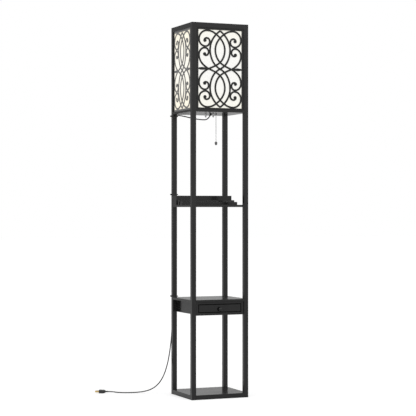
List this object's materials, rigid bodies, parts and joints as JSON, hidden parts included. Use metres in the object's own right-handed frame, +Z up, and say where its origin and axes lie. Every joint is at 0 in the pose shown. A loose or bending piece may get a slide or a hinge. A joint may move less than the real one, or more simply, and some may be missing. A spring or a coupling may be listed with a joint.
{
  "type": "shelf floor lamp",
  "caption": "Tall square floor lamp with four posts, open shelves, a small drawer, a stepped desk organiser and a lined fretwork shade with a pull chain.",
  "frame": {"origin": "on the floor, under the middle of the lamp's box measured without its cord; the drawer knob stands proud of the posts, so the frame's own middle is 4.25 mm behind it", "axes": "+Z up; front, with the drawer knob, at -Y; +X to the right seen from the front"},
  "size_m": [0.5593, 0.4053, 1.5904],
  "materials": {
    "black_lacquer": "black satin lacquer over fibreboard",
    "fretwork": "black satin paint on cut sheet steel",
    "lining_sheet": "white translucent shade cloth",
    "steel": "zinc plated",
    "dowel_beech": "plain beech",
    "holder_plastic": "moulded, matt",
    "brass": "plain",
    "bulb_cap": "rolled thread, satin",
    "bulb_glass": "frosted white",
    "bead_chain": "nickel plated",
    "pendant_metal": "dark satin",
    "cord_black": "black flexible sheath, satin",
    "black_nylon": "black nylon"
  },
  "bodies": {
    "root": {"post_lower_front_left": "black_lacquer", "post_lower_front_right": "black_lacquer", "post_lower_back_left": "black_lacquer", "post_lower_back_right": "black_lacquer", "post_upper_front_left": "black_lacquer", "post_upper_front_right": "black_lacquer", "post_upper_back_left": "black_lacquer", "post_upper_back_right": "black_lacquer", "bottom_shelf": "black_lacquer", "drawer_shelf": "black_lacquer", "middle_shelf": "black_lacquer", "shade_board": "black_lacquer", "case_side_left": "black_lacquer", "case_side_right": "black_lacquer", "case_bottom_rail": "black_lacquer", "case_top_rail": "black_lacquer", "case_bottom": "black_lacquer", "case_back": "black_lacquer", "organiser_end_left": "black_lacquer", "organiser_end_right": "black_lacquer", "organiser_bin_front": "black_lacquer", "organiser_bin_back": "black_lacquer", "organiser_middle_bar": "black_lacquer", "organiser_front_bar": "black_lacquer", "top_rail_front": "black_lacquer", "top_rail_back": "black_lacquer", "top_rail_left": "black_lacquer", "top_rail_right": "black_lacquer", "grille_front": "fretwork", "grille_back": "fretwork", "grille_left": "fretwork", "grille_right": "fretwork", "lining_front": "lining_sheet", "lining_back": "lining_sheet", "lining_left": "lining_sheet", "lining_right": "lining_sheet", "post_joint_studs": "steel", "lampholder_screws": "steel", "frame_dowels": "dowel_beech", "lampholder_body": "holder_plastic", "pull_switch_housing": "holder_plastic", "lampholder_shell": "brass", "lampholder_contact": "brass", "plug_blades": "brass", "bulb_base": "bulb_cap", "bulb_glass": "bulb_glass", "cord": "cord_black", "plug_body": "cord_black", "cord_ties": "black_nylon", "cord_bushing": "black_nylon"},
    "drawer": {"drawer_front": "black_lacquer", "drawer_side_left": "black_lacquer", "drawer_side_right": "black_lacquer", "drawer_back": "black_lacquer", "drawer_bottom": "black_lacquer", "drawer_knob": "black_lacquer", "drawer_knob_screw": "steel"},
    "chain": {"pull_chain": "bead_chain", "chain_pendant": "pendant_metal"}
  },
  "joints": [
    {"name": "drawer_slide", "type": "slide", "parent": "root", "child": "drawer", "axis": [0, -1, 0], "range_m": [0, 0.15]},
    {"name": "pull_chain_slide", "type": "slide", "parent": "root", "child": "chain", "axis": [0, 0, -1], "range_m": [0, 0.008], "stiffness_N_per_m": 400, "springref_m": -0.01}
  ]
}
